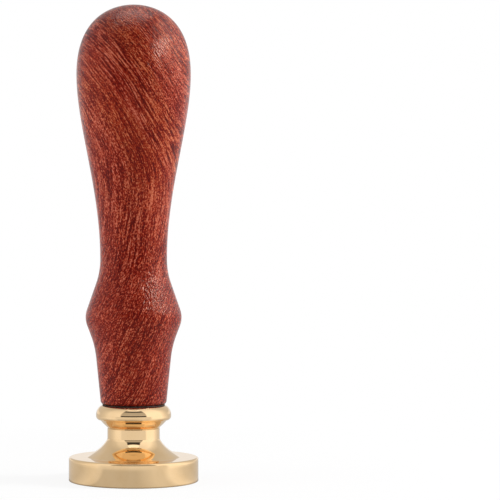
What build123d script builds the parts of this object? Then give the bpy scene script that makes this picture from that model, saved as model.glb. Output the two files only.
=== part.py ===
from build123d import *
import os
from math import atan2, radians, sqrt, tan

# Wax seal stamp: a turned hardwood handle, screwed by a hidden stud to a turned brass head.
# The origin is the centre of the engraved face that the stamp stands on, and +Z runs up the axis
# to the knob. Sizes are in millimetres, and each stretch of a profile has its own length.

# Brass head, from its face upwards
disc_diameter = 25.0
disc_thickness = 4.6
disc_face_round = 0.2
disc_top_round = 0.3
flare_foot_round = 0.6
flare_lower_height = 1.89
flare_lower_spread = 2.85  # how far the flatter, lower part of the flare runs out
flare_bend_round = 6.0
flare_upper_height = 1.52
flare_upper_spread = 1.0
neck_diameter = 10.1
neck_foot_round = 0.8
neck_length = 2.31
scribed_line_width = 0.2
scribed_line_depth = 0.1
scribed_line_drop = 0.1  # from the neck's top down to the middle of the line
collar_cone_height = 1.4
collar_diameter = 14.5
collar_lower_land = 0.05  # flat that is left under the collar, beside the cone
collar_lower_round = 0.75
collar_side_height = 0.28
collar_upper_round = 2.0
seat_land = 0.25  # skimmed off the top of the collar, which leaves a flat seat

# Engraved face: a ring inside a flat rim, six petals and a pellet between each two
engraving_depth = 0.6
rim_width = 1.4
ring_width = 0.6
petal_count = 6
petal_width = 2.6
petal_inner_radius = 1.4
petal_to_ring = 1.2
pellet_diameter = 1.5
pellet_to_ring = 2.6

# Screw joint between head and stud: a 60 degree metric thread
thread_diameter = 7.0
thread_pitch = 1.0
thread_engagement = 7.0
thread_clearance = 0.15  # radial, from the tapped thread to the stud's thread
thread_root_depth = 0.15  # how deep a ridge's flanks run on into its core
tap_run_out = 0.6  # plain drilled depth below the tapped depth
drill_point_angle = 118.0
drill_web_diameter = 0.5  # flat left by the drill's chisel edge
mouth_chamfer = 0.4

# Seat washer
washer_thickness = 0.2
washer_inset = 0.15  # from the edge of the seat
washer_hole_clearance = 0.25

# Stud, above the machine thread
shank_diameter = 6.0
shank_length = 4.0
wood_thread_core = 4.8
wood_thread_diameter = 7.0
wood_thread_pitch = 2.5
wood_thread_root_width = 1.3
wood_thread_crest_width = 0.2
wood_thread_length = 15.0
wood_thread_run_out = 0.1  # height that is left of the wood thread where it ends
stud_point_length = 3.0
stud_point_diameter = 0.6
stud_end_diameter = 4.6  # end of the machine thread, after its chamfer
stud_blank_margin = 0.5  # from a thread's crest to the blank that trims the threads' ends

# Handle, from its flat end upwards
handle_length = 77.0
handle_end_diameter = 12.6
handle_end_round = 0.75
taper_length = 11.25
taper_top_diameter = 14.9
taper_round = 18.0
bead_rise = 5.5
bead_diameter = 19.1  # at the corner, before it is rounded
bead_round = 4.5
bead_fall = 8.85
waist_diameter = 12.9
waist_round = 14.0
waist_straight = 0.169  # above the end of the waist's rounding
knob_diameter = 22.1
knob_dome_height = 13.35
swell_start_fullness = 0.38  # how far each curve keeps its end's direction, as a share of its span
swell_end_fullness = 0.28
dome_side_fullness = 0.845
dome_top_fullness = 0.355
shank_bore_clearance = 0.05
pilot_bore_clearance = 0.05
pilot_bore_spare_depth = 1.5

# Heights along the axis
flare_bend = disc_thickness + flare_lower_height
flare_top = flare_bend + flare_upper_height
neck_top = flare_top + neck_length
collar_bottom = neck_top + collar_cone_height
collar_top = collar_bottom + collar_lower_round + collar_side_height + collar_upper_round
seat_height = collar_top - seat_land
wood_end = seat_height + washer_thickness
stud_end = seat_height - thread_engagement
shank_top = wood_end + shank_length
wood_thread_top = shank_top + wood_thread_length
stud_top = wood_thread_top + stud_point_length
taper_top = wood_end + taper_length
bead_height = taper_top + bead_rise
waist_start = bead_height + bead_fall
waist_turn = atan2(bead_diameter / 2 - waist_diameter / 2, bead_fall)  # angle that the waist rounds off
waist_end = waist_start + waist_round * tan(waist_turn / 2) + waist_straight
handle_top = wood_end + handle_length
knob_height = handle_top - knob_dome_height

# Radii worked out from the sizes above
disc_radius = disc_diameter / 2
neck_radius = neck_diameter / 2
flare_bend_radius = neck_radius + flare_upper_spread
flare_foot_radius = flare_bend_radius + flare_lower_spread
collar_radius = collar_diameter / 2
cone_top_radius = collar_radius - collar_lower_round - collar_lower_land
seat_radius = collar_radius - collar_upper_round + sqrt(seat_land * (2 * collar_upper_round - seat_land))
thread_depth = 5 / 8 * thread_pitch * sqrt(3) / 2
thread_root_width = 3 / 4 * thread_pitch
thread_crest_width = 1 / 8 * thread_pitch
tapped_major = thread_diameter / 2
tapped_minor = tapped_major - thread_depth
stud_major = tapped_major - thread_clearance
stud_minor = tapped_minor - thread_clearance
pilot_radius = wood_thread_core / 2 + pilot_bore_clearance
shank_bore_radius = shank_diameter / 2 + shank_bore_clearance
stud_blank_radius = max(stud_major, wood_thread_diameter / 2) + stud_blank_margin
drill_web_radius = drill_web_diameter / 2


def drill_point(radius):
    """Depth of the cone that a drill of this radius leaves below its full width."""
    return (radius - drill_web_radius) / tan(radians(drill_point_angle / 2))


def helical_ridge(root_radius, crest_radius, root_width, crest_width, pitch, start, turns):
    """A right-hand ridge round +Z that starts over +X at the height start and climbs by pitch a turn."""
    height = crest_radius - root_radius
    flank_slope = (root_width - crest_width) / 2 / height
    base_width = root_width + 2 * flank_slope * thread_root_depth
    with BuildPart() as ridge:
        with BuildLine() as path:
            Helix(pitch, pitch * turns, root_radius, center=(0, 0, start))
        with BuildSketch(Plane(path.line @ 0, x_dir=(1, 0, 0), z_dir=path.line % 0)):
            with BuildLine():
                Polyline(
                    (-thread_root_depth, -base_width / 2),
                    (height, -crest_width / 2),
                    (height, crest_width / 2),
                    (-thread_root_depth, base_width / 2),
                    close=True,
                )
            make_face()
        sweep(path=path.line, is_frenet=True)
    return ridge.part


# The tapped thread and the stud's thread start at the same height and angle, so they are in mesh.
thread_start = stud_end - thread_pitch
tapped_turns = (seat_height - thread_start) / thread_pitch + 1
machine_turns = (seat_height - thread_root_width / 2 - thread_start) / thread_pitch
tapped_groove = helical_ridge(
    tapped_minor,
    tapped_major,
    thread_root_width,
    thread_crest_width,
    thread_pitch,
    thread_start,
    tapped_turns,
)
machine_ridge = helical_ridge(
    stud_minor,
    stud_major,
    thread_root_width,
    thread_crest_width,
    thread_pitch,
    thread_start,
    machine_turns,
)
wood_ridge = helical_ridge(
    wood_thread_core / 2,
    wood_thread_diameter / 2,
    wood_thread_root_width,
    wood_thread_crest_width,
    wood_thread_pitch,
    shank_top + wood_thread_root_width / 2,
    (wood_thread_length - wood_thread_root_width) / wood_thread_pitch,
)

# One petal of the engraving, along +X: two arcs that meet in points
ring_outer_radius = disc_radius - rim_width
ring_inner_radius = ring_outer_radius - ring_width
petal_tip_radius = ring_inner_radius - petal_to_ring
petal_middle = (petal_inner_radius + petal_tip_radius) / 2
with BuildSketch() as petal:
    with BuildLine():
        ThreePointArc((petal_inner_radius, 0), (petal_middle, -petal_width / 2), (petal_tip_radius, 0))
        ThreePointArc((petal_tip_radius, 0), (petal_middle, petal_width / 2), (petal_inner_radius, 0))
    make_face()

# Tap: the shape of the tapped blind hole, a drilled hole with the thread's groove round it
with BuildPart() as tap:
    with BuildSketch(Plane.XZ):
        with BuildLine():
            hole_floor = thread_start - tap_run_out
            hole_mouth = seat_height + 2 * thread_pitch
            Polyline(
                (0, hole_floor - drill_point(tapped_minor)),
                (drill_web_radius, hole_floor - drill_point(tapped_minor)),
                (tapped_minor, hole_floor),
                (tapped_minor, hole_mouth),
                (0, hole_mouth),
                close=True,
            )
        make_face()
    revolve(axis=Axis.Z)
    add(tapped_groove)

# Brass head: one turning, with a tapped blind hole from above and the design cut into its face
with BuildPart() as stamp_head:
    with BuildSketch(Plane.XZ):
        with BuildLine():
            FilletPolyline(
                (0, 0),
                (disc_radius, 0),
                (disc_radius, disc_thickness),
                (flare_foot_radius, disc_thickness),
                (flare_bend_radius, flare_bend),
                (neck_radius, flare_top),
                (neck_radius, neck_top),
                (cone_top_radius, collar_bottom),
                (collar_radius, collar_bottom),
                (collar_radius, collar_top),
                (0, collar_top),
                radius=[
                    disc_face_round,
                    disc_top_round,
                    flare_foot_round,
                    flare_bend_round,
                    neck_foot_round,
                    0,
                    0,
                    collar_lower_round,
                    collar_upper_round,
                ],
            )
            Line((0, collar_top), (0, 0))
        make_face()
        with Locations((0, seat_height)):
            Rectangle(disc_diameter, collar_upper_round, align=(Align.CENTER, Align.MIN), mode=Mode.SUBTRACT)
        with BuildLine():
            Polyline(
                (neck_radius, neck_top - scribed_line_drop - scribed_line_width / 2),
                (neck_radius, neck_top - scribed_line_drop + scribed_line_width / 2),
                (neck_radius - scribed_line_depth, neck_top - scribed_line_drop),
                close=True,
            )
        make_face(mode=Mode.SUBTRACT)
    revolve(axis=Axis.Z)
    add(tap.part, mode=Mode.SUBTRACT)
    with BuildSketch(Plane.XZ):
        with BuildLine():
            mouth_radius = tapped_major + mouth_chamfer
            Polyline(
                (0, seat_height - mouth_radius),
                (mouth_radius, seat_height),
                (0, seat_height),
                close=True,
            )
        make_face()
    revolve(axis=Axis.Z, mode=Mode.SUBTRACT)
    with BuildSketch():
        Circle(ring_outer_radius)
        Circle(ring_inner_radius, mode=Mode.SUBTRACT)
        with PolarLocations(0, petal_count):
            add(petal.sketch)
        with PolarLocations(ring_inner_radius - pellet_to_ring, petal_count, start_angle=180 / petal_count):
            Circle(pellet_diameter / 2)
    extrude(amount=engraving_depth, mode=Mode.SUBTRACT)

# Seat washer: a thin ring that lies on the head's seat, under the wood
with BuildPart() as seat_washer:
    with BuildSketch(Plane.XY.offset(seat_height)):
        Circle(seat_radius - washer_inset)
        Circle(thread_diameter / 2 + washer_hole_clearance, mode=Mode.SUBTRACT)
    extrude(amount=washer_thickness)

# Stud: machine thread below, plain shank, wood thread with a point above
with BuildPart() as stud:
    with BuildSketch(Plane.XZ):
        with BuildLine():
            Polyline(
                (0, stud_end),
                (stud_minor, stud_end),
                (stud_minor, wood_end),
                (shank_diameter / 2, wood_end),
                (shank_diameter / 2, shank_top),
                (wood_thread_core / 2, shank_top),
                (wood_thread_core / 2, wood_thread_top),
                (stud_point_diameter / 2, stud_top),
                (0, stud_top),
                close=True,
            )
        make_face()
    revolve(axis=Axis.Z)
    add(machine_ridge)
    add(wood_ridge)
    with BuildSketch(Plane.XZ):
        with BuildLine():
            Polyline(
                (0, stud_end),
                (stud_end_diameter / 2, stud_end),
                (stud_blank_radius, stud_end + stud_blank_radius - stud_end_diameter / 2),
                (stud_blank_radius, wood_thread_top - stud_point_length),
                (wood_thread_core / 2 + wood_thread_run_out, wood_thread_top),
                (wood_thread_core / 2 + wood_thread_run_out, stud_top),
                (0, stud_top),
                close=True,
            )
        make_face()
    revolve(axis=Axis.Z, mode=Mode.INTERSECT)

# Handle: one turning, with a bore for the stud's shank and a narrower pilot bore for its wood thread
with BuildPart() as handle:
    with BuildSketch(Plane.XZ):
        with BuildLine():
            FilletPolyline(
                (0, wood_end),
                (handle_end_diameter / 2, wood_end),
                (taper_top_diameter / 2, taper_top),
                (bead_diameter / 2, bead_height),
                (waist_diameter / 2, waist_start),
                (waist_diameter / 2, waist_end),
                radius=[handle_end_round, taper_round, bead_round, waist_round],
            )
            swell_span = knob_height - waist_end
            Bezier(
                (waist_diameter / 2, waist_end),
                (waist_diameter / 2, waist_end + swell_start_fullness * swell_span),
                (knob_diameter / 2, knob_height - swell_end_fullness * swell_span),
                (knob_diameter / 2, knob_height),
            )
            Bezier(
                (knob_diameter / 2, knob_height),
                (knob_diameter / 2, knob_height + dome_side_fullness * knob_dome_height),
                (dome_top_fullness * knob_diameter / 2, handle_top),
                (0, handle_top),
            )
            Line((0, handle_top), (0, wood_end))
        make_face()
    revolve(axis=Axis.Z)
    pilot_floor = stud_top + pilot_bore_spare_depth
    with BuildSketch(Plane.XZ):
        with BuildLine():
            Polyline(
                (0, wood_end),
                (shank_bore_radius, wood_end),
                (shank_bore_radius, shank_top),
                (pilot_radius, shank_top),
                (pilot_radius, pilot_floor),
                (drill_web_radius, pilot_floor + drill_point(pilot_radius)),
                (0, pilot_floor + drill_point(pilot_radius)),
                close=True,
            )
        make_face()
    revolve(axis=Axis.Z, mode=Mode.SUBTRACT)

stamp_head.part.label = "stamp_head"
seat_washer.part.label = "seat_washer"
stud.part.label = "stud"
handle.part.label = "handle"

os.makedirs("parts", exist_ok=True)
export_step(stamp_head.part, "parts/stamp_head.step")
export_step(seat_washer.part, "parts/seat_washer.step")
export_step(stud.part, "parts/stud.step")
export_step(handle.part, "parts/handle.step")
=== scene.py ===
# %% [markdown]
# # A wax seal stamp
#
# The stamp is a turned hardwood handle that is screwed to a turned brass head. The head's round
# face is engraved, and presses its design into soft sealing wax. Between brass and wood lies a
# thin dark washer, and a steel stud inside holds the two together.
#
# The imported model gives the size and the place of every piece. This lesson loads it first, then
# dresses it: with surfaces that are fine enough for polished metal, and with finishes made of
# shader nodes. A room for the brass to mirror, a floor, lamps and a camera come last.

import bpy
import numpy as np
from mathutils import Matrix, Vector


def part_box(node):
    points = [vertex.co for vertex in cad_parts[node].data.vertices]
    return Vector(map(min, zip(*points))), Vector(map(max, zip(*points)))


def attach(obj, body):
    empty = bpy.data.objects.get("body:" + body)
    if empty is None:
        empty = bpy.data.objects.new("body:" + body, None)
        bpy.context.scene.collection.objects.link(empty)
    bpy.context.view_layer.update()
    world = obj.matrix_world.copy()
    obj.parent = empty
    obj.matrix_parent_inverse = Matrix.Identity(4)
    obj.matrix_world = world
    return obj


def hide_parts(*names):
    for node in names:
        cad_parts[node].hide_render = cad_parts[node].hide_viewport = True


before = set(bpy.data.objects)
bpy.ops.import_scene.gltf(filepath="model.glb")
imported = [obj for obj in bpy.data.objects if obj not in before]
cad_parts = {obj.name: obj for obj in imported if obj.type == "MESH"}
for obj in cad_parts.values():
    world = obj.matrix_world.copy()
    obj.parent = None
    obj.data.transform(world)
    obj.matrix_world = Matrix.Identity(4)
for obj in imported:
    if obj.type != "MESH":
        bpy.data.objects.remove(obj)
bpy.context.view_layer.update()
print("nodes:", sorted(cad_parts))

# %% [markdown]
# ## Sizes
#
# Blender works in metres, but a stamp is easier to think of in millimetres. So outlines are
# written in millimetres and turned into metres once, where the mesh is made. The outer sizes come
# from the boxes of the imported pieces, so that the dressed pieces keep to them.

# %% Sizes from the frame, in millimetres
MM = 0.001


def in_mm(box):
    """The lowest and the highest corner of a box, from metres to millimetres."""
    return [corner / MM for corner in box]


_, head_high = in_mm(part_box("stamp_head"))
washer_low, washer_high = in_mm(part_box("seat_washer"))
handle_low, handle_high = in_mm(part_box("handle"))
stud_low, stud_high = in_mm(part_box("stud"))

disc_radius = head_high.x
seat_height = head_high.z
washer_radius = washer_high.x
wood_end = handle_low.z
knob_radius = handle_high.x
handle_top = handle_high.z
print(f"disc {2 * disc_radius:.2f} mm across, handle {handle_top - wood_end:.2f} mm long")

# %% [markdown]
# ## Outlines
#
# Both main pieces are turned on a lathe, so each is an outline carried once round the axis. An
# outline is a list of (radius, height) points. Real edges are never quite sharp, and a polished
# edge shows as a line of light. A Bevel modifier could round them, but every edge would need its
# own weight, so each corner gets a true arc here. Long straight stretches are cut into short parts:
# smooth shading bends the light over one whole face, and short faces keep that bend next to the
# edge where it belongs.

# %% Helpers for outlines
ARC_STEP = 7.5  # degrees from one point of an arc to the next
SAME_POINT = 1e-6  # points closer than this are one point


def arc(centre, radius, start, end):
    """Points of a circle from one angle to another, in degrees.

    Each is the centre plus the radius times the cosine and the sine of its angle.
    """
    count = int(np.ceil(abs(end - start) / ARC_STEP)) + 1
    angle = np.radians(np.linspace(start, end, count))
    across = centre[0] + radius * np.cos(angle)
    up = centre[1] + radius * np.sin(angle)
    return np.stack([across, up], axis=1)


def rounded(corners, radii, longest=0.5):
    """An outline through corners, with an arc of the given radius at each inner corner.

    The arc is tangent to both sides. Where the outline turns by an angle t, it begins and ends
    radius * tan(t / 2) from the corner. Its points swing from the first tangent point to the last
    round the arc's centre, by the rule for turning one arrow into another:
    (sin((1 - s) t) * first + sin(s t) * last) / sin(t), for s from 0 to 1.
    No step on the arc is over longest.
    """
    corners = np.asarray(corners, float)
    stretches = [corners[:1]]
    for before, corner, after, radius in zip(corners, corners[1:], corners[2:], radii):
        back = (before - corner) / np.linalg.norm(before - corner)
        onward = (after - corner) / np.linalg.norm(after - corner)
        turn = np.pi - np.arccos(back @ onward)
        middle = (back + onward) / np.linalg.norm(back + onward)
        centre = corner + middle * radius / np.cos(turn / 2)
        first = corner + back * radius * np.tan(turn / 2) - centre
        last = corner + onward * radius * np.tan(turn / 2) - centre
        steps = int(np.ceil(max(np.degrees(turn) / ARC_STEP, radius * turn / longest)))
        share = np.linspace(0, 1, steps + 1)[:, None]
        swing = (np.sin((1 - share) * turn) * first + np.sin(share * turn) * last) / np.sin(turn)
        stretches.append(centre + swing)
    stretches.append(corners[-1:])
    return np.concatenate(stretches)


def bezier(start, leaving, arriving, end, count=60):
    """A cubic curve through start and end, drawn towards leaving and arriving.

    The four points are weighted by (1-s)^3, 3s(1-s)^2, 3s^2(1-s) and s^3, for s from 0 to 1.
    """
    s = np.linspace(0, 1, count)[:, None]
    points = np.array([start, leaving, arriving, end], float)
    weights = [(1 - s) ** 3, 3 * s * (1 - s) ** 2, 3 * s**2 * (1 - s), s**3]
    return np.concatenate(weights, axis=1) @ points


def finely(outline, step):
    """The same outline without repeated points, in equal parts no longer than step."""
    length = np.linalg.norm(np.diff(outline, axis=0), axis=1)
    outline = outline[np.append(True, length > SAME_POINT)]
    length = length[length > SAME_POINT]
    parts = np.ceil(length / step).astype(int)
    stretch = np.repeat(np.arange(len(parts)), parts)
    share = (np.arange(parts.sum()) - (np.cumsum(parts) - parts)[stretch]) / parts[stretch]
    points = outline[stretch] + share[:, None] * (outline[stretch + 1] - outline[stretch])
    return np.concatenate([points, outline[-1:]])


print("a quarter of a circle has", len(arc((0, 0), 1, 0, 90)), "points")

# %% [markdown]
# ## From a grid to a mesh
#
# A turned surface is a grid: its rows follow the outline, and its columns go once round. A curve
# with a Screw modifier would turn an outline too. Here radius and height are whole grids, not
# single numbers, so that a thread or an engraving can be added to either of them. The last column
# joins the first, and a row on the axis shrinks to one vertex, so the mesh is closed.


# %% Helpers that turn a grid
def angles_round(columns):
    """The angle of each column: 2 pi j / columns."""
    return np.arange(columns) * 2 * np.pi / columns


def all_round(values, columns):
    """A grid with the same value in every column of a row."""
    return np.outer(values, np.ones(columns))


def turned_mesh(name, radius, height, ring=False):
    """A closed mesh round +Z: vertex (i, j) has radius[i, j], height[i, j] and column j's angle.

    The first and last rows lie on the axis and become one vertex each. A ring has no row on the
    axis, and its last row joins its first. An outline that starts below and goes outwards gives
    faces that point out.
    """
    rows, columns = radius.shape
    angle = angles_round(columns)
    points = np.stack([radius * np.cos(angle), radius * np.sin(angle), height], axis=-1) * MM
    if ring:
        number = np.arange(rows * columns).reshape(rows, columns)
        below, above = number, np.roll(number, -1, axis=0)
        points = points.reshape(-1, 3)
    else:
        number = np.arange(rows * columns).reshape(rows, columns) - (columns - 1)
        number[0] = 0
        number[-1] = number[-2, -1] + 1
        below, above = number[:-1], number[1:]
        points = np.concatenate([points[0, :1], points[1:-1].reshape(-1, 3), points[-1, :1]])
    corners = [below, np.roll(below, -1, axis=1), np.roll(above, -1, axis=1), above]
    faces = np.stack(corners, axis=-1).reshape(-1, 4)
    if ring:
        face_list = faces.tolist()
    else:
        first_fan = faces[:columns, [0, 2, 3]].tolist()
        last_fan = faces[-columns:, [0, 1, 2]].tolist()
        face_list = first_fan + faces[columns:-columns].tolist() + last_fan
    mesh = bpy.data.meshes.new(name)
    mesh.from_pydata(points.tolist(), [], face_list)
    mesh.shade_smooth()
    piece = bpy.data.objects.new(name, mesh)
    bpy.context.scene.collection.objects.link(piece)
    print(f"{name}: {rows} rows of {columns}, {len(face_list)} faces")
    return piece


# %% [markdown]
# ## The handle
#
# On the real stamp one blank of hardwood is turned between centres: a short taper above the brass,
# a soft bead, a slim waist for the fingers and a rounded knob for the palm. One smooth curve
# through a few points could draw it all, but it would wander between them. So the lower stretch is
# straight cuts with generous roundings, and the knob is two curves that share an upright tangent
# at the widest place. The bore for the stud belongs to the outline too, so that the flat end is
# right when the handle is off.

# %% Handle outline
end_radius = 6.3
end_round = 0.75
taper_top = wood_end + 11.25
taper_top_radius = 7.45
taper_round = 18.0
bead_height = taper_top + 5.5
bead_radius = 9.55
bead_round = 4.5
waist_start = bead_height + 8.85
waist_end = waist_start + 2.55
waist_radius = 6.45
waist_round = 14.0
dome = 13.35
knob_height = handle_top - dome
swell = knob_height - waist_end
swell_start_fullness = 0.38  # how far a curve keeps its end's direction, as a share of its span
swell_end_fullness = 0.28
dome_side_fullness = 0.845
dome_top_fullness = 0.355
shank_bore = 3.05
shank_top = wood_end + 4.0
pilot_bore = 2.45
pilot_floor = stud_high.z + 1.5
pilot_point = 1.32
bore_edge_round = 0.1
handle_step = 0.45

lower_outline = rounded(
    [
        (0, pilot_floor + pilot_point),
        (pilot_bore, pilot_floor),
        (pilot_bore, shank_top),
        (shank_bore, shank_top),
        (shank_bore, wood_end),
        (end_radius, wood_end),
        (taper_top_radius, taper_top),
        (bead_radius, bead_height),
        (waist_radius, waist_start),
        (waist_radius, waist_end),
    ],
    [bore_edge_round] * 4 + [end_round, taper_round, bead_round, waist_round],
)
swell_curve = bezier(
    (waist_radius, waist_end),
    (waist_radius, waist_end + swell_start_fullness * swell),
    (knob_radius, knob_height - swell_end_fullness * swell),
    (knob_radius, knob_height),
)
dome_curve = bezier(
    (knob_radius, knob_height),
    (knob_radius, knob_height + dome_side_fullness * dome),
    (dome_top_fullness * knob_radius, handle_top),
    (0, handle_top),
)
handle_outline = finely(np.concatenate([lower_outline, swell_curve, dome_curve]), handle_step)
widest = 2 * handle_outline[:, 0].max()
print(f"handle outline: {len(handle_outline)} points, widest {widest:.2f} mm")

# %% Handle surface
HANDLE_COLUMNS = 192

handle = turned_mesh(
    "turned_handle",
    all_round(handle_outline[:, 0], HANDLE_COLUMNS),
    all_round(handle_outline[:, 1], HANDLE_COLUMNS),
)
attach(handle, "grip")
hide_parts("handle")

# %% [markdown]
# ## The brass head
#
# The head is turned from brass bar: a disc, a flare that runs up into a neck, a scribed line, a
# short cone and a bead collar with a flat seat on top. A tapped hole goes down from the seat. The
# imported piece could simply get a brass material. But polished brass mirrors the room, and a mirror
# shows every flat facet, so this surface is finer. It also shows the slightest swell: the cone's
# side isn't quite straight, which swings what it mirrors by about twenty degrees in all.

# %% Head outline, from the middle of the face to the bottom of the hole
edge_round = 0.2
top_edge_round = 0.4
soft_edge = 0.05
line_edge = soft_edge / 2  # on the scribed line and at the cone's ends
disc_thickness = 4.6
neck_radius = 5.05
flare_bend = (neck_radius + 1.0, disc_thickness + 1.89)
flare_foot = (flare_bend[0] + 2.85, disc_thickness)
flare_foot_round = 0.6
flare_bend_round = 6.6
flare_top = flare_bend[1] + 1.52
neck_foot_round = 0.8
neck_top = flare_top + 2.31
scribed_middle = neck_top - 0.13
scribed_half_width = 0.1
scribed_depth = 0.1
collar_radius = 7.25
collar_bottom = neck_top + 1.4
collar_lower_round = 0.75
collar_upper_round = 2.0
collar_middle = collar_bottom + collar_lower_round + 0.28
cone_top_radius = collar_radius - collar_lower_round - 0.05
cone_bow = 0.042  # how far the cone swells between its ends
cone_push = 2**0.5 * cone_bow  # out and down, to the corner that the swell's arc rounds off
cone_half = np.hypot(cone_top_radius - neck_radius, collar_bottom - neck_top) / 2
cone_round = 0.96 * cone_half**2 / (2 * cone_bow)  # the arc ends just inside the cone's ends
cone_middle = (
    (neck_radius + cone_top_radius) / 2 + cone_push,
    (neck_top + collar_bottom) / 2 - cone_push,
)
thread_major = 3.5
thread_minor = 2.959
hole_floor = stud_low.z - 1.6
hole_point = 1.63
mouth_radius = thread_major + 0.4
arc_longest = 0.12

face_outline = np.array([(0, 0), (disc_radius - edge_round, 0)])
side_outline = rounded(
    [
        (disc_radius - 2 * edge_round, 0),
        (disc_radius, 0),
        (disc_radius, disc_thickness),
        flare_foot,
        flare_bend,
        (neck_radius, flare_top),
        (neck_radius, scribed_middle - scribed_half_width),
        (neck_radius - scribed_depth, scribed_middle),
        (neck_radius, scribed_middle + scribed_half_width),
        (neck_radius, neck_top),
        cone_middle,
        (cone_top_radius, collar_bottom),
        (collar_radius, collar_bottom),
        (collar_radius, collar_middle),
    ],
    [edge_round, top_edge_round, flare_foot_round, flare_bend_round, neck_foot_round]
    + [line_edge] * 4
    + [cone_round, line_edge, collar_lower_round],
    arc_longest,
)[1:]
collar_centre = (collar_radius - collar_upper_round, collar_middle)
collar_end = np.degrees(np.arcsin((seat_height - collar_middle) / collar_upper_round))
collar_outline = arc(collar_centre, collar_upper_round, 0, collar_end)
hole_outline = rounded(
    [
        collar_outline[-1],
        (mouth_radius, seat_height),
        (thread_minor, seat_height - (mouth_radius - thread_minor)),
        (thread_minor, hole_floor),
        (0, hole_floor - hole_point),
    ],
    [soft_edge] * 3,
)
print(f"seat {2 * collar_outline[-1, 0]:.2f} mm across at {seat_height:.2f} mm")

# %% [markdown]
# ## Engraving and thread
#
# The face carries a plain ornament of the kind that such stamps have had for centuries: a ring,
# six petals and a pellet between each two. It is cut into the face, so that it stands up from the
# wax. Boolean cuts could make it, with upright walls and long thin faces. Here each figure is a
# signed distance, which is below zero inside it, and the depth follows from the smallest of the
# distances, so the walls slope a little, as those of an engraver's cutter do. The thread of the
# hole is a formula on the same grid.

# %% Engraving and thread as formulas on the grid
engraving_depth = 0.6
engraving_wall = 0.3
ring_middle = disc_radius - 1.7
ring_half_width = 0.3
petal_count = 6
petal_from = 1.4
petal_to = 9.3
petal_half_width = 1.3
pellet_place = 7.9
pellet_radius = 0.75
thread_pitch = 1.0
thread_start = stud_low.z - thread_pitch
thread_root = 0.75 * thread_pitch / 2
thread_crest = 0.125 * thread_pitch / 2


def engraved(radius, angle):
    """Depth of the engraving: full inside a figure, none outside, with a smooth wall between.

    The ring is |radius - ring_middle| - half its width. The angle is folded onto one petal, which
    is the space that two circles share, so its distance is that to the far circle's centre less
    the circle's radius. A pellet is a circle on the line half-way between two petals. The wall is
    the smooth step 3 t^2 - 2 t^3.
    """
    sector = 2 * np.pi / petal_count
    folded = (angle + sector / 2) % sector - sector / 2
    between = angle % sector - sector / 2
    half_length = (petal_to - petal_from) / 2
    circle = (half_length**2 + petal_half_width**2) / (2 * petal_half_width)
    petal_x = radius * np.cos(folded) - (petal_from + petal_to) / 2
    petal_y = np.abs(radius * np.sin(folded)) + circle - petal_half_width
    pellet_x = radius * np.cos(between) - pellet_place
    pellet_y = radius * np.sin(between)
    ring = np.abs(radius - ring_middle) - ring_half_width
    petal = np.hypot(petal_x, petal_y) - circle
    pellet = np.hypot(pellet_x, pellet_y) - pellet_radius
    distance = np.minimum(np.minimum(ring, petal), pellet)
    inside = np.clip(0.5 - distance / engraving_wall, 0, 1)
    return engraving_depth * inside**2 * (3 - 2 * inside)


def tapped(height, angle):
    """Depth of the tapped groove: a 60 degree tooth round a helix that climbs a pitch each turn."""
    along = height - thread_start - thread_pitch * angle / (2 * np.pi)
    off_helix = np.abs((along / thread_pitch + 0.5) % 1 - 0.5) * thread_pitch
    tooth = np.clip((thread_root - off_helix) / (thread_root - thread_crest), 0, 1)
    run_in = np.clip((height - thread_start) / thread_pitch + 0.5, 0, 1)
    return (thread_major - thread_minor) * tooth * run_in


print(f"ring {float(engraved(ring_middle, 0.0)):.2f} mm deep, {petal_count} petals and pellets")

# %% Head surface
HEAD_COLUMNS = 256
face_step = 0.15
side_step = 0.22
hole_step = 0.19

face_rows = finely(face_outline, face_step)
side_rows = finely(np.concatenate([side_outline, collar_outline]), side_step)
hole_rows = finely(hole_outline, hole_step)[1:]
head_outline = np.concatenate([face_rows, side_rows, hole_rows])

head_angle = angles_round(HEAD_COLUMNS)
head_radius = all_round(head_outline[:, 0], HEAD_COLUMNS)
head_height = all_round(head_outline[:, 1], HEAD_COLUMNS)
face_part = slice(0, len(face_rows))
head_height[face_part] += engraved(head_radius[face_part], head_angle)

in_hole = np.arange(len(head_outline)) >= len(face_rows) + len(side_rows)
in_hole &= head_outline[:, 0] <= thread_major
in_hole &= head_outline[:, 1] >= hole_floor
threaded = thread_minor + tapped(head_height[in_hole], head_angle)
head_radius[in_hole] = np.maximum(head_radius[in_hole], threaded)

head = turned_mesh("turned_head", head_radius, head_height)
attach(head, "head")
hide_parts("stamp_head")

# %% [markdown]
# ## The washer
#
# A thin leather washer lies on the seat. Only its edge shows, as the dark line between brass and
# wood, until the handle is unscrewed. A plain ring would do from afar, but a washer punched from
# leather has soft edges and is never quite round. So its corners are rounded, and its radius
# changes a little on the way round.

# %% Washer surface
WASHER_COLUMNS = 160
washer_hole = 3.75
washer_start = 5.0  # the outline begins and ends here, under the washer
washer_edge_round = 0.08
washer_step = 0.15
washer_uneven = 0.03
washer_waves = [(3, 0.4, 0.6), (7, 0.0, 0.4)]  # waves in one turn, where they start, their share

washer_inner = washer_hole + washer_uneven
washer_outer = washer_radius - washer_uneven
washer_corners = [
    (washer_start, washer_low.z),
    (washer_outer, washer_low.z),
    (washer_outer, washer_high.z),
    (washer_inner, washer_high.z),
    (washer_inner, washer_low.z),
    (washer_start, washer_low.z),
]
washer_outline = finely(rounded(washer_corners, [washer_edge_round] * 4), washer_step)[:-1]
washer_angle = angles_round(WASHER_COLUMNS)
washer_wave = sum(
    share * np.sin(count * washer_angle + start) for count, start, share in washer_waves
)
washer = turned_mesh(
    "leather_washer",
    washer_outline[:, :1] + washer_uneven * washer_wave,
    all_round(washer_outline[:, 1], WASHER_COLUMNS),
    ring=True,
)
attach(washer, "washer")
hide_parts("seat_washer")

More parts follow.
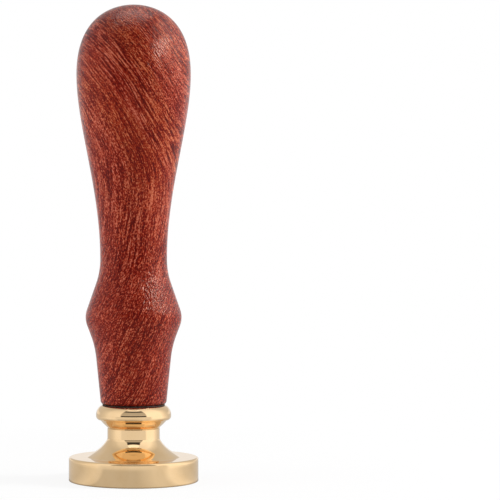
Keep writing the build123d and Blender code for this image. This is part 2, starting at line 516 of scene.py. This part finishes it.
# %% [markdown]
# ## Writing shaders as formulas
#
# A finish is a small program made of nodes. It could be drawn by hand in the Shader Editor, or
# added node by node, but both hide the idea. So a small class wraps a node's output and gives it
# Python's operators: an expression such as `1 - mask * 0.3` then adds the Math nodes that it needs.


# %% Class for shader formulas
class Wire:
    """One output of a node in a shader tree, with the operators that the finishes use."""

    def __init__(self, tree, socket=None):
        self.tree = tree
        self.socket = socket

    def node(self, kind, settings, inputs, output=0):
        """Add a node: its settings first, then a value or a wire for each of its inputs."""
        made = self.tree.nodes.new(kind)
        for name, value in settings.items():
            if name == "stops":
                self.set_stops(made.color_ramp.elements, value)
            else:
                setattr(made, name, value)
        for name, value in inputs.items():
            if isinstance(value, Wire):
                self.tree.links.new(value.socket, made.inputs[name])
            else:
                made.inputs[name].default_value = value
        return Wire(self.tree, made.outputs[output] if len(made.outputs) else None)

    def set_stops(self, elements, stops):
        """Give a colour ramp these stops, each a place from 0 to 1 and a colour."""
        while len(elements) < len(stops):
            elements.new(1.0)
        for element, (place, colour) in zip(elements, stops):
            element.position = place
            element.color = (*colour, 1.0)

    def math(self, operation, *values):
        """One Math node on wires and numbers."""
        return self.node("ShaderNodeMath", {"operation": operation}, dict(enumerate(values)))

    def __add__(self, other):
        return self.math("ADD", self, other)

    def __radd__(self, other):
        return self.math("ADD", other, self)

    def __sub__(self, other):
        return self.math("SUBTRACT", self, other)

    def __rsub__(self, other):
        return self.math("SUBTRACT", other, self)

    def __mul__(self, other):
        return self.math("MULTIPLY", self, other)

    def __rmul__(self, other):
        return self.math("MULTIPLY", other, self)

    def __abs__(self):
        return self.math("ABSOLUTE", self)

    def between(self, low, high):
        """A smooth step: 0 at low and 1 at high, also where high is the smaller of the two."""
        settings = {"interpolation_type": "SMOOTHSTEP"}
        start, end = (0.0, 1.0) if low < high else (1.0, 0.0)
        source = {"Value": self, "From Min": min(low, high), "From Max": max(low, high)}
        return self.node("ShaderNodeMapRange", settings, {**source, "To Min": start, "To Max": end})

    def ramp(self, stops):
        """The colour at this place, from 0 to 1, on a ramp through the stops."""
        return self.node("ShaderNodeValToRGB", {"stops": stops}, {"Fac": self})

    def vector(self, x, y, z):
        """Three values as one vector."""
        return self.node("ShaderNodeCombineXYZ", {}, {"X": x, "Y": y, "Z": z})

    def parts(self):
        """The x, y and z of a vector, as three wires."""
        split = self.node("ShaderNodeSeparateXYZ", {}, {"Vector": self}).socket.node
        return [Wire(self.tree, split.outputs[axis]) for axis in "XYZ"]

    def noise(self, scale, detail=2.0, roughness=0.5):
        """Cloudy noise between 0 and 1, read at this place."""
        inputs = {"Vector": self, "Scale": scale, "Detail": detail, "Roughness": roughness}
        return self.node("ShaderNodeTexNoise", {}, inputs, "Fac")

    def bump(self, strength, distance):
        """The normal of a surface that this value raises by up to distance, in metres."""
        inputs = {"Height": self, "Strength": strength, "Distance": distance}
        return self.node("ShaderNodeBump", {}, inputs)


# %% Helpers for finishes
MIX_FIRST, MIX_SECOND, MIX_RESULT = 6, 7, 2  # the Mix node's sockets for colours


def mix_colours(amount, first, second, blend="MIX"):
    """The first colour where amount is 0, the second where it is 1. MULTIPLY tints the first."""
    settings = {"data_type": "RGBA", "blend_type": blend}
    inputs = {0: amount, MIX_FIRST: first, MIX_SECOND: second}
    return amount.node("ShaderNodeMix", settings, inputs, MIX_RESULT)


def new_finish(name):
    """An empty material and a wire to start its formulas from."""
    material = bpy.data.materials.new(name)
    material.use_nodes = True
    material.node_tree.nodes.clear()
    return material, Wire(material.node_tree)


def place_in_mm(wire):
    """The point of the surface in millimetres."""
    place = wire.node("ShaderNodeTexCoord", {}, {}, "Object")
    return wire.node("ShaderNodeMapping", {}, {"Vector": place, "Scale": (1 / MM,) * 3})


def from_axis(x, y):
    """The distance from the stamp's axis: the square root of x^2 + y^2."""
    return x.math("SQRT", x * x + y * y)


def surface_output(wire, shader):
    """Join a shader to the material's output."""
    wire.node("ShaderNodeOutputMaterial", {}, {"Surface": shader})


def principled_surface(wire, inputs):
    """Give the material one Principled shader with these inputs."""
    surface_output(wire, wire.node("ShaderNodeBsdfPrincipled", {}, inputs))


def put_on(piece, material):
    """Give a piece this material and say how large its node tree is."""
    piece.data.materials.append(material)
    print(f"{material.name}: {len(material.node_tree.nodes)} nodes")


# %% [markdown]
# ## Red hardwood under satin lacquer
#
# The wood is a deep red-brown with streaks that lean one way in the knob, stand upright below it
# and lean the other way from the waist down: the fibres of this blank grew in a bend. A picture
# wrapped round the handle would show a seam and a pinched top. So the pattern is a solid one, which
# runs through the wood as in a real blank and shows loops where the round surface cuts its layers.
#
# It isn't read at x, y and z but at coordinates that follow the fibres. Across them is
# x + lean * sqrt(above^2 + width^2) + tilt * above, plus a little sway, where above is the height
# over the bend: a point that moves along a fibre keeps that value. Noise that is drawn out along
# the height then gives streaks, and drawing it out in depth too gives the flat layers of a blank.

# %% Where the fibres run
bend_height = 59.0
bend_width = 20.0
bend_lean = 0.8  # slope that the fibres come near at both ends, to opposite sides
bend_tilt = 0.2  # slope that is added all along, so the upper end leans more than the lower
sway_fineness = 0.07
sway_reach = 3.0
layer_depth = 0.15

# Each grain is about 1 / fineness millimetres wide, and length times as long along the fibres. A
# small depth draws it out into the wood, and start only picks another place in the noise.
grain_shapes = {
    "zones": {"fineness": 0.25, "length": 6.0, "start": 3.1},
    "patches": {"fineness": 0.14, "length": 3.0, "start": 29.0},
    "fibres": {"fineness": 3.6, "length": 20.0, "start": 41.0, "detail": 2.0, "roughness": 0.6},
    "speckle": {"fineness": 6.0, "length": 2.5, "start": 73.0, "depth": 1.0, "roughness": 0.6},
    "flecks": {"fineness": 2.6, "length": 8.0, "start": 97.0, "depth": 0.4},
    "dark_lines": {"fineness": 1.1, "length": 16.0, "start": 59.0},
    "pale_lines": {"fineness": 1.4, "length": 16.0, "start": 83.0},
    "amber": {"fineness": 0.22, "length": 5.0, "start": 151.0},
    "glints": {"fineness": 3.0, "length": 3.0, "start": 131.0, "depth": 1.0, "detail": 0.0},
}


def along_fibres(wire):
    """The point as its place across the fibres, its depth and its height, in millimetres."""
    place = place_in_mm(wire)
    x, inward, height = place.parts()
    above = height - bend_height
    bend = wire.math("SQRT", above * above + bend_width**2)
    sway = place.noise(sway_fineness, detail=1.0) - 0.5
    across = x + bend * bend_lean + above * bend_tilt + sway * sway_reach
    return across, inward, height


def grain(fibre_place, fineness, length, start, depth=layer_depth, detail=1.0, roughness=0.5):
    """Noise between 0 and 1 in grains of this shape, on the fibres' own coordinates."""
    across, inward, height = fibre_place
    drawn_out = across.vector(
        across * fineness + start,
        inward * (fineness * depth),
        height * (fineness / length),
    )
    return drawn_out.noise(1.0, detail=detail, roughness=roughness)


print("grains of the wood:", ", ".join(grain_shapes))

# %% Wood finish
knob_grain = (50.0, 62.0)  # heights between which the waist's grain turns into the knob's
lower_part_heights = (54.0, 40.0)  # heights between which the wood gets darker downwards
# Painted shade: the wood's rounded end is darker where it meets the brass.
end_shade_heights = (wood_end + 0.6, wood_end + 0.1)
ribbon_middle = 21.5  # a strongly streaked ribbon crosses the knob here
ribbon_edges = (7.0, 2.0)
patch_limits = (0.40, 0.58)  # a noise counts from nothing at the first to fully at the second
fleck_limits = (0.56, 0.72)
amber_limits = (0.38, 0.62)
dark_line_width = 0.10
pale_line_width = 0.07
tone_middle = 0.48
tone_weights = {
    "zones": 0.15,
    "fibres": 2.4,
    "speckle": 3.3,
    "ribbon_speckle": -0.9,
    "pale_lines": 0.2,
    "dark_lines": -0.4,
    "flecks": 0.22,
    "lower": -0.11,
    "end_painted_shade": -0.5,
}
wood_tones = [
    (0.0, (0.080, 0.001, 0.0005)),
    (0.25, (0.155, 0.002, 0.001)),
    (0.50, (0.250, 0.016, 0.004)),
    (0.75, (0.370, 0.051, 0.023)),
    (1.0, (0.520, 0.130, 0.078)),
]
amber_tint = (0.97, 1.1, 0.45, 1)
amber_amount = 0.15
amber_more_in_knob = 0.25
lacquer_roughness = 0.22
lacquer_relief = 0.00009
lacquer_gloss = 0.20
lacquer_tint = (1.0, 0.7, 0.55, 1)


def hardwood():
    """A tone from dark 0 to pale 1, which a ramp colours: a middle plus what each grain adds."""
    material, wire = new_finish("red_hardwood_lacquered")
    fibre_place = along_fibres(wire)
    across, _, height = fibre_place
    noise = {name: grain(fibre_place, **shape) for name, shape in grain_shapes.items()}
    weight = tone_weights

    knob = height.between(*knob_grain)
    lower = height.between(*lower_part_heights)
    end_painted_shade = height.between(*end_shade_heights)
    ribbon = abs(across - ribbon_middle).between(*ribbon_edges) * knob
    patches = noise["patches"].between(*patch_limits)
    flecks = noise["flecks"].between(*fleck_limits)
    dark_lines = abs(noise["dark_lines"] - 0.5).between(dark_line_width, 0.0)
    pale_lines = abs(noise["pale_lines"] - 0.5).between(pale_line_width, 0.0)
    amber = noise["amber"].between(*amber_limits) * (amber_amount + knob * amber_more_in_knob)

    # The long streaks show in patches, more in the knob than below it and most in the ribbon.
    streaked = (0.6 + patches * 0.6) * (0.75 + knob * 0.25) + ribbon * 0.25
    streaks = (noise["fibres"] - 0.5) * weight["fibres"]
    streaks = streaks + pale_lines * weight["pale_lines"] + dark_lines * weight["dark_lines"]
    speckle = noise["speckle"] - 0.5
    tone = tone_middle + (noise["zones"] - 0.5) * weight["zones"] + streaks * streaked
    tone = tone + speckle * (weight["speckle"] + ribbon * weight["ribbon_speckle"])
    tone = tone + flecks * weight["flecks"] + lower * weight["lower"]
    # Painted shade on the wood's end, beside the brass.
    tone = tone + end_painted_shade * weight["end_painted_shade"]
    # The lacquer follows the pores: small dimples, deeper below the knob, on faint streaks.
    relief = noise["glints"] * (1.0 + lower) + noise["fibres"] * 0.4 - dark_lines * 0.2

    principled_surface(wire, {
        "Base Color": mix_colours(amber, tone.ramp(wood_tones), amber_tint, blend="MULTIPLY"),
        "Roughness": lacquer_roughness + speckle * 0.2,
        "Normal": relief.bump(0.8, lacquer_relief),
        "Specular IOR Level": lacquer_gloss,
        "Specular Tint": lacquer_tint,
    })
    return material


put_on(handle, hardwood())

# %% [markdown]
# ## Polished brass
#
# The head is buffed after turning. Fine rings from the lathe stay, fingers leave soft smudges, and
# the cuts are duller, because the wheel doesn't reach their floor. Painted light and shade could
# look like metal from one side, but would turn with the head when it moves. So the colour is nearly
# the same all over: what looks like light and shade on polished brass is the room that it mirrors.

# %% Brass finish
brass_clean = (0.91, 0.65, 0.37, 1)
brass_smudged = (0.88, 0.615, 0.335, 1)
brass_dull = (0.30, 0.17, 0.07, 1)
lathe_rings = 6.0  # rings in each millimetre
lathe_relief = 0.00002
cut_walls = (0.12, 0.35)  # heights between which the walls of a cut turn dull
cut_ceiling = (0.9, 0.7)  # heights over the floor of the cuts, where the dull part ends
cut_rim = (11.6, 11.3)  # radii outside the ring, where it ends too
groove_edges = (0.10, 0.04)  # distances from the middle of the scribed line
polish_roughness = 0.025


def brass():
    """Brass that is dull where the engraving or the scribed line is, and polished elsewhere."""
    material, wire = new_finish("brass_polished")
    place = place_in_mm(wire)
    x, y, height = place.parts()
    radius = from_axis(x, y)
    rings = wire.vector(radius * lathe_rings, height * lathe_rings, 0.0).noise(1.0, detail=3.0)
    smudge = place.noise(0.35, detail=3.0)
    cut = height.between(*cut_walls) * height.between(*cut_ceiling) * radius.between(*cut_rim)
    groove = abs(height - scribed_middle).between(*groove_edges)
    dull = wire.math("MAXIMUM", cut, groove * 0.4)
    buffed = mix_colours(smudge.between(0.35, 0.75), brass_clean, brass_smudged)
    principled_surface(wire, {
        "Base Color": mix_colours(dull * 0.75, buffed, brass_dull),
        "Metallic": 1.0,
        "Roughness": polish_roughness + smudge * 0.03 + dull * 0.3,
        "Normal": rings.bump(0.05, lathe_relief),
    })
    return material


put_on(head, brass())

# %% [markdown]
# ## Leather and plated steel
#
# The washer is dark vegetable-tanned leather. Its pebbled grain could be modelled, but at a tenth
# of a millimetre a bump is enough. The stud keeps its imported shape, whose threads are exact, and
# gets the look of bright zinc plate: bluish grey with a faint yellow tint in clouds, and fine lines
# round it, as the rolling of a thread leaves them.

# %% Leather finish
leather_dark = (0.012, 0.007, 0.005, 1)
leather_pale = (0.055, 0.030, 0.020, 1)
pebble_relief = 0.00008


def leather():
    """Leather whose pebbles are paler and rougher than the creases between them."""
    material, wire = new_finish("leather_dark")
    pebbles = place_in_mm(wire).noise(5.0, detail=3.0, roughness=0.6)
    principled_surface(wire, {
        "Base Color": mix_colours(pebbles.between(0.35, 0.7), leather_dark, leather_pale),
        "Roughness": 0.62 + pebbles * 0.25,
        "Normal": pebbles.bump(0.6, pebble_relief),
    })
    return material


put_on(washer, leather())

# %% Steel finish
zinc_blue = (0.56, 0.57, 0.60, 1)
zinc_yellow = (0.62, 0.60, 0.53, 1)
round_fineness = 0.4
axis_fineness = 14.0
line_relief = 0.00002


def plated_steel():
    """Zinc plate: two tints in clouds, and noise that is far finer along the axis than round it."""
    material, wire = new_finish("steel_zinc_plated")
    place = place_in_mm(wire)
    x, y, height = place.parts()
    clouds = place.noise(0.6).between(0.35, 0.7)
    squeezed = wire.vector(x * round_fineness, y * round_fineness, height * axis_fineness)
    lines = squeezed.noise(1.0)
    principled_surface(wire, {
        "Base Color": mix_colours(clouds, zinc_blue, zinc_yellow),
        "Metallic": 1.0,
        "Roughness": 0.24 + lines * 0.14,
        "Normal": lines.bump(0.15, line_relief),
    })
    return material


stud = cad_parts["stud"]
stud.data.materials.clear()
put_on(stud, plated_steel())

# %% [markdown]
# ## The room that the brass mirrors
#
# The picture shows the stamp on pure white. Polished metal in an all-white room looks flat, so
# product photographers keep the side where the camera stands darker: the middle of each brass
# surface then shows a soft beige panel between bright sides. The room could be built of panels, or
# come from a photograph. A formula is lighter, and every level in it can be read.
#
# In front there are, from the horizon up, a dark gap, a grey flap, another dark gap and a softbox.
# The walls elsewhere are pale, and a brighter strip low down behind the stamp is what the top of
# the disc mirrors. The camera itself sees white.

# %% Brightness of the room by direction
FULL = 1.25  # brightness that a level of 1 stands for

# In front, the place goes from the horizon, 0, to straight up, 1.
front_levels = [
    (0.00, 0.40),
    (0.005, 0.05),
    (0.115, 0.05),
    (0.13, 0.50),
    (0.30, 0.42),
    (0.53, 0.40),
    (0.55, 0.04),
    (0.70, 0.04),
    (0.72, 1.05),
    (0.83, 1.05),
    (0.88, 0.30),
]
# Round the room, it goes from behind, 0, by the left, 0.25, the camera's side, 0.5, and the right,
# 0.75, to behind again, 1.
round_levels = [
    (0.00, 0.52),
    (0.10, 0.54),
    (0.16, 0.54),
    (0.22, 0.63),
    (0.27, 0.78),
    (0.35, 0.82),
    (0.62, 1.00),
    (0.76, 1.00),
    (0.81, 0.75),
    (0.86, 0.56),
    (1.00, 0.52),
]
height_levels = [(0.0, 1.0), (0.35, 1.0), (0.60, 0.9), (1.0, 0.6)]
front_edges = (43, 37)  # degrees to either side of the camera's direction
behind_edges = (120, 140)
strip_edges = (0.14, 0.09)  # on the scale from the horizon, 0, to straight up, 1
strip_level = 0.74


def greys(levels):
    """The stops of a ramp: each level as a grey."""
    return [(place, (level,) * 3) for place, level in levels]


def azimuth_of(x, y):
    """Angle from the camera's side, in degrees: right is +90, left is -90."""
    return x.math("ARCTAN2", x, 0 - y) * (180 / np.pi)


def round_place(azimuth):
    """An azimuth as a place from 0 to 1 on the way round the room."""
    return azimuth * (1 / 360) + 0.5


def room_brightness(direction):
    """How bright the room is along a direction: the walls, the strip behind, then the front."""
    x, y, z = direction.parts()
    elevation = z.math("ARCTAN2", z, from_axis(x, y)) * (2 / np.pi)
    azimuth = azimuth_of(x, y)
    front = elevation.ramp(greys(front_levels))
    walls = round_place(azimuth).ramp(greys(round_levels)) * elevation.ramp(greys(height_levels))
    strip = abs(azimuth).between(*behind_edges) * elevation.between(*strip_edges)
    in_front = abs(azimuth).between(*front_edges)
    return (walls + strip * (strip_level - walls) + in_front * (front - walls)) * FULL


world = bpy.data.worlds.new("white_studio")
bpy.context.scene.world = world
world.use_nodes = True
world.node_tree.nodes.clear()
sky = Wire(world.node_tree)
sky_camera = sky.node("ShaderNodeLightPath", {}, {}, "Is Camera Ray")
sky_room = room_brightness(sky.node("ShaderNodeTexCoord", {}, {}, "Generated"))
sky_shown = sky_room + sky_camera * (1.0 - sky_room)
background = sky.node("ShaderNodeBackground", {}, {"Color": sky_shown, "Strength": 1.0})
sky.node("ShaderNodeOutputWorld", {}, {"Surface": background})
print("world:", len(world.node_tree.nodes), "nodes")

# %% [markdown]
# ## Floor
#
# The stamp stands on white paper that runs on into the background, with a faint shadow round its
# foot. Plain paper would look grey where the lamps don't reach, so most of what the camera sees of
# it is pure white, and only the rest is paper that takes a shadow. The brass mirrors the floor too,
# and there its light and shade are painted: patches of light and shade near the stamp, a painted
# shadow right beside the disc, and further off the level of the wall behind, but one level all over
# the front.

# %% Floor
floor_half = 3.0
floor_corners = [
    (-floor_half, -floor_half, 0),
    (floor_half, -floor_half, 0),
    (floor_half, floor_half, 0),
    (-floor_half, floor_half, 0),
]
floor_mesh = bpy.data.meshes.new("floor")
floor_mesh.from_pydata(floor_corners, [], [(0, 1, 2, 3)])
floor = bpy.data.objects.new("floor", floor_mesh)
bpy.context.scene.collection.objects.link(floor)
print(f"floor: {2 * floor_half:.0f} m each way")

# %% Floor finish
# Painted light and shade on the floor round the stamp, by the way round the room, as the brass sees
# it.
painted_floor_patches = [
    (0.25, 0.50),
    (0.33, 0.66),
    (0.36, 0.62),
    (0.375, 0.46),
    (0.51, 0.44),
    (0.58, 0.62),
    (0.62, 0.62),
    (0.65, 0.82),
    (0.68, 0.80),
    (0.73, 0.60),
    (0.80, 0.50),
]
floor_far_level = 0.85  # in front, beyond the patches
floor_far_edges = (60, 50)  # degrees to either side of the camera's direction
patch_edges = (38, 46)  # millimetres from the axis, as are the next two
painted_shadow_edges = (12.5, 14.5)
paper_edges = (50, 130)
# A painted shadow on the floor right beside the disc, which only the brass sees.
painted_shadow_level = 0.45  # what is left of the floor's light right beside the disc
white_near = 0.85  # how much of what the camera sees is pure white near the stamp
white_in_brass = 0.9
paper_grey = (0.88, 0.88, 0.88, 1)


def floor_in_brass(place):
    """The floor in the brass: painted light and shade near the stamp, the room's level beyond."""
    x, y, _ = place.parts()
    azimuth = azimuth_of(x, y)
    away = from_axis(x, y)
    near = round_place(azimuth).ramp(greys(painted_floor_patches)) * FULL
    round_far = round_place(azimuth).ramp(greys(round_levels)) * FULL
    far = round_far + abs(azimuth).between(*floor_far_edges) * (floor_far_level - round_far)
    patched = near + away.between(*patch_edges) * (far - near)
    # Painted shadow: the floor is darker right beside the disc.
    return patched * (painted_shadow_level + away.between(*painted_shadow_edges) * (1 - painted_shadow_level))


def white_paper():
    """Plain paper mixed with a glow, which is white to the camera and the room to the brass."""
    material, wire = new_finish("white_floor")
    place = place_in_mm(wire)
    x, y, _ = place.parts()
    camera_ray = wire.node("ShaderNodeLightPath", {}, {}, "Is Camera Ray")
    glossy_ray = wire.node("ShaderNodeLightPath", {}, {}, "Is Glossy Ray")
    glow_level = camera_ray + glossy_ray * (floor_in_brass(place) - camera_ray)
    plain = wire.node("ShaderNodeBsdfDiffuse", {}, {"Color": paper_grey})
    glow = wire.node("ShaderNodeEmission", {}, {"Color": glow_level, "Strength": 1.0})
    white = white_near + from_axis(x, y).between(*paper_edges) * (1 - white_near)
    share = camera_ray * white + glossy_ray * white_in_brass
    surface_output(wire, wire.node("ShaderNodeMixShader", {}, {0: share, 1: plain, 2: glow}))
    return material


put_on(floor, white_paper())

# %% [markdown]
# ## Lamps
#
# The wood is lit from the right by a key lamp and from the left by a weak fill lamp, so both sides
# are brighter than the middle. Its lacquer mirrors three soft lamps: a small one at the right for
# the sparkle on the knob and the bead, a large one further round for the sheen beside that, and one
# overhead for the pale patch on the dome. One lamp could do both jobs, but then light and highlight
# can't be placed apart, so each lamp here either lights or is mirrored. Light linking keeps all of
# them off the brass, which mirrors only the room and the floor.

# %% Lamps
lamp_lit = bpy.data.collections.new("lit_by_lamps")
for piece in (handle, washer, stud, floor):
    lamp_lit.objects.link(piece)


def soft_lamp(name, azimuth, elevation, distance, size, power, lights=True, mirrored=True):
    """A square area lamp, azimuth degrees to the right of the camera, facing the stamp's middle.

    Its place is the middle plus distance times the direction, whose parts are sin(azimuth) and
    -cos(azimuth), both times cos(elevation), and sin(elevation).
    """
    lamp = bpy.data.lights.new(name, "AREA")
    lamp.size = size
    lamp.energy = power
    holder = bpy.data.objects.new(name, lamp)
    turn = np.radians(azimuth)
    rise = np.radians(elevation)
    flat = np.cos(rise)
    towards = np.array([np.sin(turn) * flat, -np.cos(turn) * flat, np.sin(rise)])
    aim = np.array([0, 0, handle_top / 2 * MM])
    holder.location = aim + towards * distance
    holder.rotation_euler = (np.pi / 2 - rise, 0, turn)
    holder.visible_camera = False
    holder.visible_diffuse = lights
    holder.visible_glossy = mirrored
    holder.light_linking.receiver_collection = lamp_lit
    bpy.context.scene.collection.objects.link(holder)
    print(f"{name}: at {[round(float(v), 3) for v in holder.location]}")


soft_lamp("key_right", 88, 26, distance=0.45, size=0.10, power=1.3, mirrored=False)
soft_lamp("glint_right", 66, 32, distance=0.45, size=0.10, power=1.2, lights=False)
soft_lamp("sheen_right", 92, 36, distance=0.45, size=0.40, power=1.1, lights=False)
soft_lamp("fill_left", -80, -6, distance=0.13, size=0.10, power=0.082, mirrored=False)
soft_lamp("top_soft", 180, 86, distance=0.5, size=0.36, power=1.3, lights=False)

# %% [markdown]
# ## Camera
#
# The photograph was taken level from about 31 cm away, a little below the stamp's middle: the rings
# round the brass show how far the eye is above them. The stamp stands left of the middle of the
# picture. Turning the camera would make its sides lean, so the lens is shifted instead, as on a
# view camera.

# %% Camera
PICTURE = 500  # pixels each way
stamp_axis_pixel = 133.6
pixels_per_mm = 5.18  # at the stamp's axis
floor_pixel = 480.4  # row where the axis meets the floor
camera_distance = 308.0
camera_height = 39.0
sensor_width = 36.0

lens = bpy.data.cameras.new("photo_camera")
lens.sensor_width = sensor_width
lens.lens = sensor_width * pixels_per_mm * camera_distance / PICTURE
lens.shift_x = 0.5 - stamp_axis_pixel / PICTURE
lens.shift_y = (floor_pixel - camera_height * pixels_per_mm) / PICTURE - 0.5
camera = bpy.data.objects.new("photo_camera", lens)
camera.location = (0, -camera_distance * MM, camera_height * MM)
camera.rotation_euler = (np.pi / 2, 0, 0)
bpy.context.scene.collection.objects.link(camera)
bpy.context.scene.camera = camera
bpy.context.scene.view_settings.view_transform = "Standard"
print(f"lens {lens.lens:.1f} mm, shift {lens.shift_x:.4f}")
